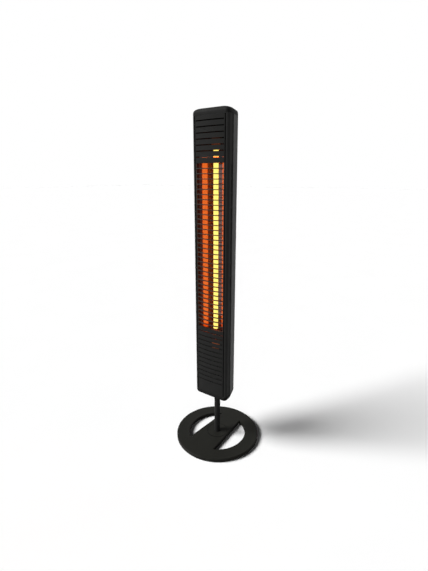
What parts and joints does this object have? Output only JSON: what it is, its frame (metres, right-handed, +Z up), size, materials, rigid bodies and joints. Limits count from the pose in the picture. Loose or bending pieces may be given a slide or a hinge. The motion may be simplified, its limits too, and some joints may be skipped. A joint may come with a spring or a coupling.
{
  "type": "infrared patio heater tower",
  "caption": "Free-standing outdoor infrared heater: a slim slatted black tower with a glowing upright lamp behind bowed guard bars, on a short pole and a round open base plate.",
  "frame": {"origin": "on the floor at the centre of the round base plate, which is also the pole's axis", "axes": "+Z points up, -Y out of the slatted front that gives the heat, and +X to the right of someone who faces the front"},
  "size_m": [0.3, 0.3, 1.12],
  "materials": {
    "base_steel": "fine-textured black powder coat on steel plate",
    "pole_steel": "fine-textured black powder coat on steel tube",
    "casing_paint": "satin black powder coat on an aluminium extrusion",
    "panel_paint": "satin black powder coat on pressed sheet",
    "guard_paint": "heat-proof satin black coat",
    "cap_plastic": "satin moulded black plastic",
    "switch_plastic": "semi-gloss moulded black plastic",
    "gland_plastic": "matt moulded black nylon",
    "rubber": "matt black rubber",
    "zinc_steel": "zinc plated steel",
    "cast_aluminium": "sand-cast aluminium, as cast",
    "reflector_sheet": "gloss black heat-proof enamel on sheet steel",
    "quartz": "clear quartz with a golden filter coat",
    "element": "glowing carbon strip at working heat",
    "ceramic": "cream fired steatite",
    "lead_sleeve": "red-brown silicone sleeve",
    "board": "green solder mask"
  },
  "bodies": {
    "heater": {"base_plate": "base_steel", "foot_pads": "rubber", "pole_hub": "base_steel", "hub_screws": "zinc_steel", "pole_bolt": "zinc_steel", "pole_foot_plug": "zinc_steel", "pole": "pole_steel", "pole_block": "cast_aluminium", "block_screws": "zinc_steel", "pole_grub_screw": "zinc_steel", "casing": "casing_paint", "bottom_cap": "cap_plastic", "bottom_gasket": "rubber", "bottom_cap_screws": "zinc_steel", "top_cap": "cap_plastic", "top_gasket": "rubber", "top_cap_screws": "zinc_steel", "upper_panel": "panel_paint", "lower_panel": "panel_paint", "guard_grille": "guard_paint", "reflector": "reflector_sheet", "reflector_end_plates": "reflector_sheet", "quartz_tube": "quartz", "heating_element": "element", "lamp_sockets": "ceramic", "socket_brackets": "zinc_steel", "lamp_leads": "lead_sleeve", "chassis_plate": "zinc_steel", "control_board": "board", "terminal_block": "ceramic", "tilt_switch": "zinc_steel", "switch_housing": "switch_plastic", "gland_body": "gland_plastic", "gland_locknut": "gland_plastic", "gland_seal": "rubber"},
    "rocker": {"switch_rocker": "switch_plastic"}
  },
  "joints": [
    {"name": "rocker_tilt", "type": "hinge", "parent": "heater", "child": "rocker", "pos_m": [0, 0.0384, 0.331], "axis": [1, 0, 0], "range_deg": [-14, 0]}
  ]
}
